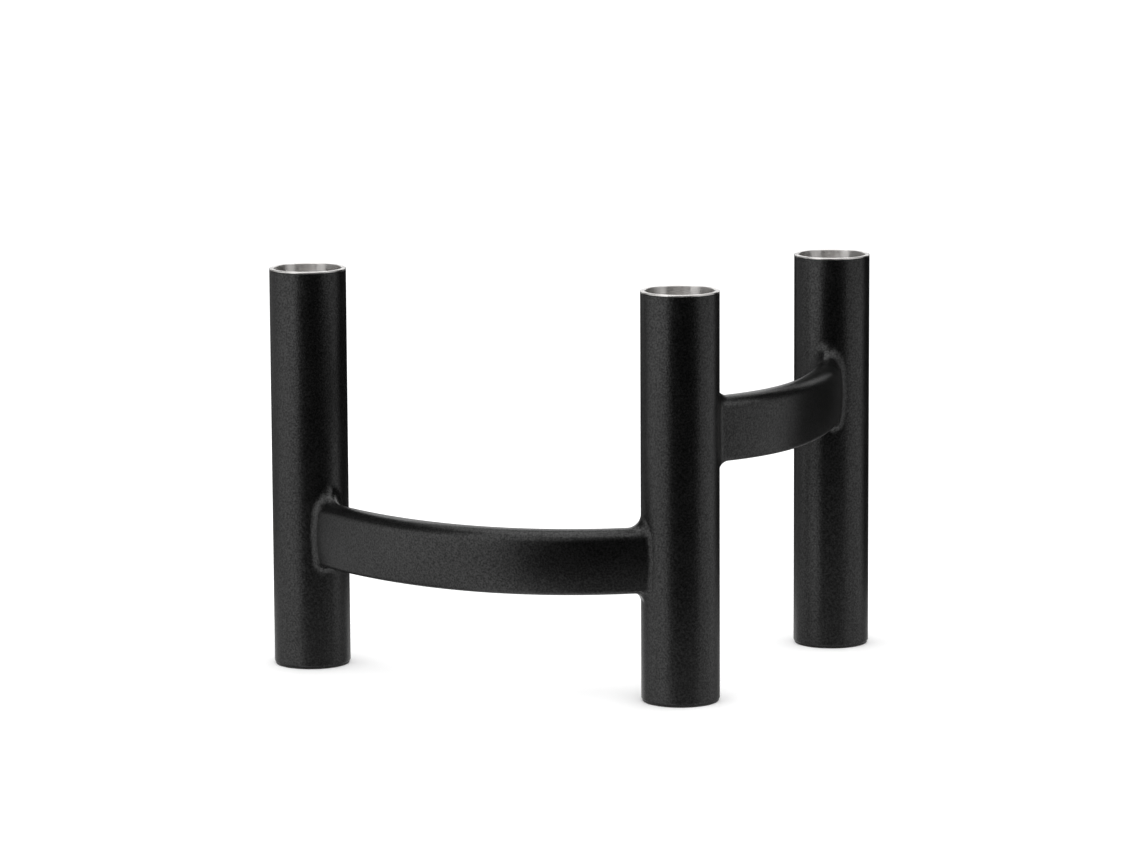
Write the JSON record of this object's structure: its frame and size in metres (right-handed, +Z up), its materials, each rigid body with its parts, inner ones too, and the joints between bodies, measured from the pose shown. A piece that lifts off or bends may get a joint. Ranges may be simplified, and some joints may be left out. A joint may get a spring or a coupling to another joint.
{
  "type": "candelabra",
  "caption": "Tabletop candelabra: round black posts joined by curved arms at different heights, with bright steel lift-out cups for dinner candles.",
  "frame": {"origin": "on the table, under the middle of the bounding box", "axes": "+X along the length from the left post to the right post, +Y to the back, +Z up"},
  "size_m": [0.199, 0.1214, 0.1332],
  "materials": {
    "powder_coat": "fine-textured matt black powder coat",
    "cup_steel": "fine turned stainless steel with a bright lip",
    "zinc_steel": "zinc-plated steel",
    "felt": "thin black felt"
  },
  "bodies": {
    "frame": {"arm_lower": "powder_coat", "arm_upper": "powder_coat", "post_left": "powder_coat", "base_plug_left": "zinc_steel", "tie_washer_left": "zinc_steel", "tie_bolt_left": "zinc_steel", "foot_pad_left": "felt", "post_middle": "powder_coat", "base_plug_middle": "zinc_steel", "tie_washer_middle": "zinc_steel", "tie_bolt_middle": "zinc_steel", "foot_pad_middle": "felt", "post_right": "powder_coat", "base_plug_right": "zinc_steel", "tie_washer_right": "zinc_steel", "tie_bolt_right": "zinc_steel", "foot_pad_right": "felt"},
    "cup_left": {"candle_cup_left": "cup_steel"},
    "cup_middle": {"candle_cup_middle": "cup_steel"},
    "cup_right": {"candle_cup_right": "cup_steel"}
  },
  "joints": [
    {"name": "cup_lift_left", "type": "slide", "parent": "frame", "child": "cup_left", "axis": [0, 0, 1], "range_m": [0, 0.04]},
    {"name": "cup_lift_middle", "type": "slide", "parent": "frame", "child": "cup_middle", "axis": [0, 0, 1], "range_m": [0, 0.04]},
    {"name": "cup_lift_right", "type": "slide", "parent": "frame", "child": "cup_right", "axis": [0, 0, 1], "range_m": [0, 0.04]}
  ]
}
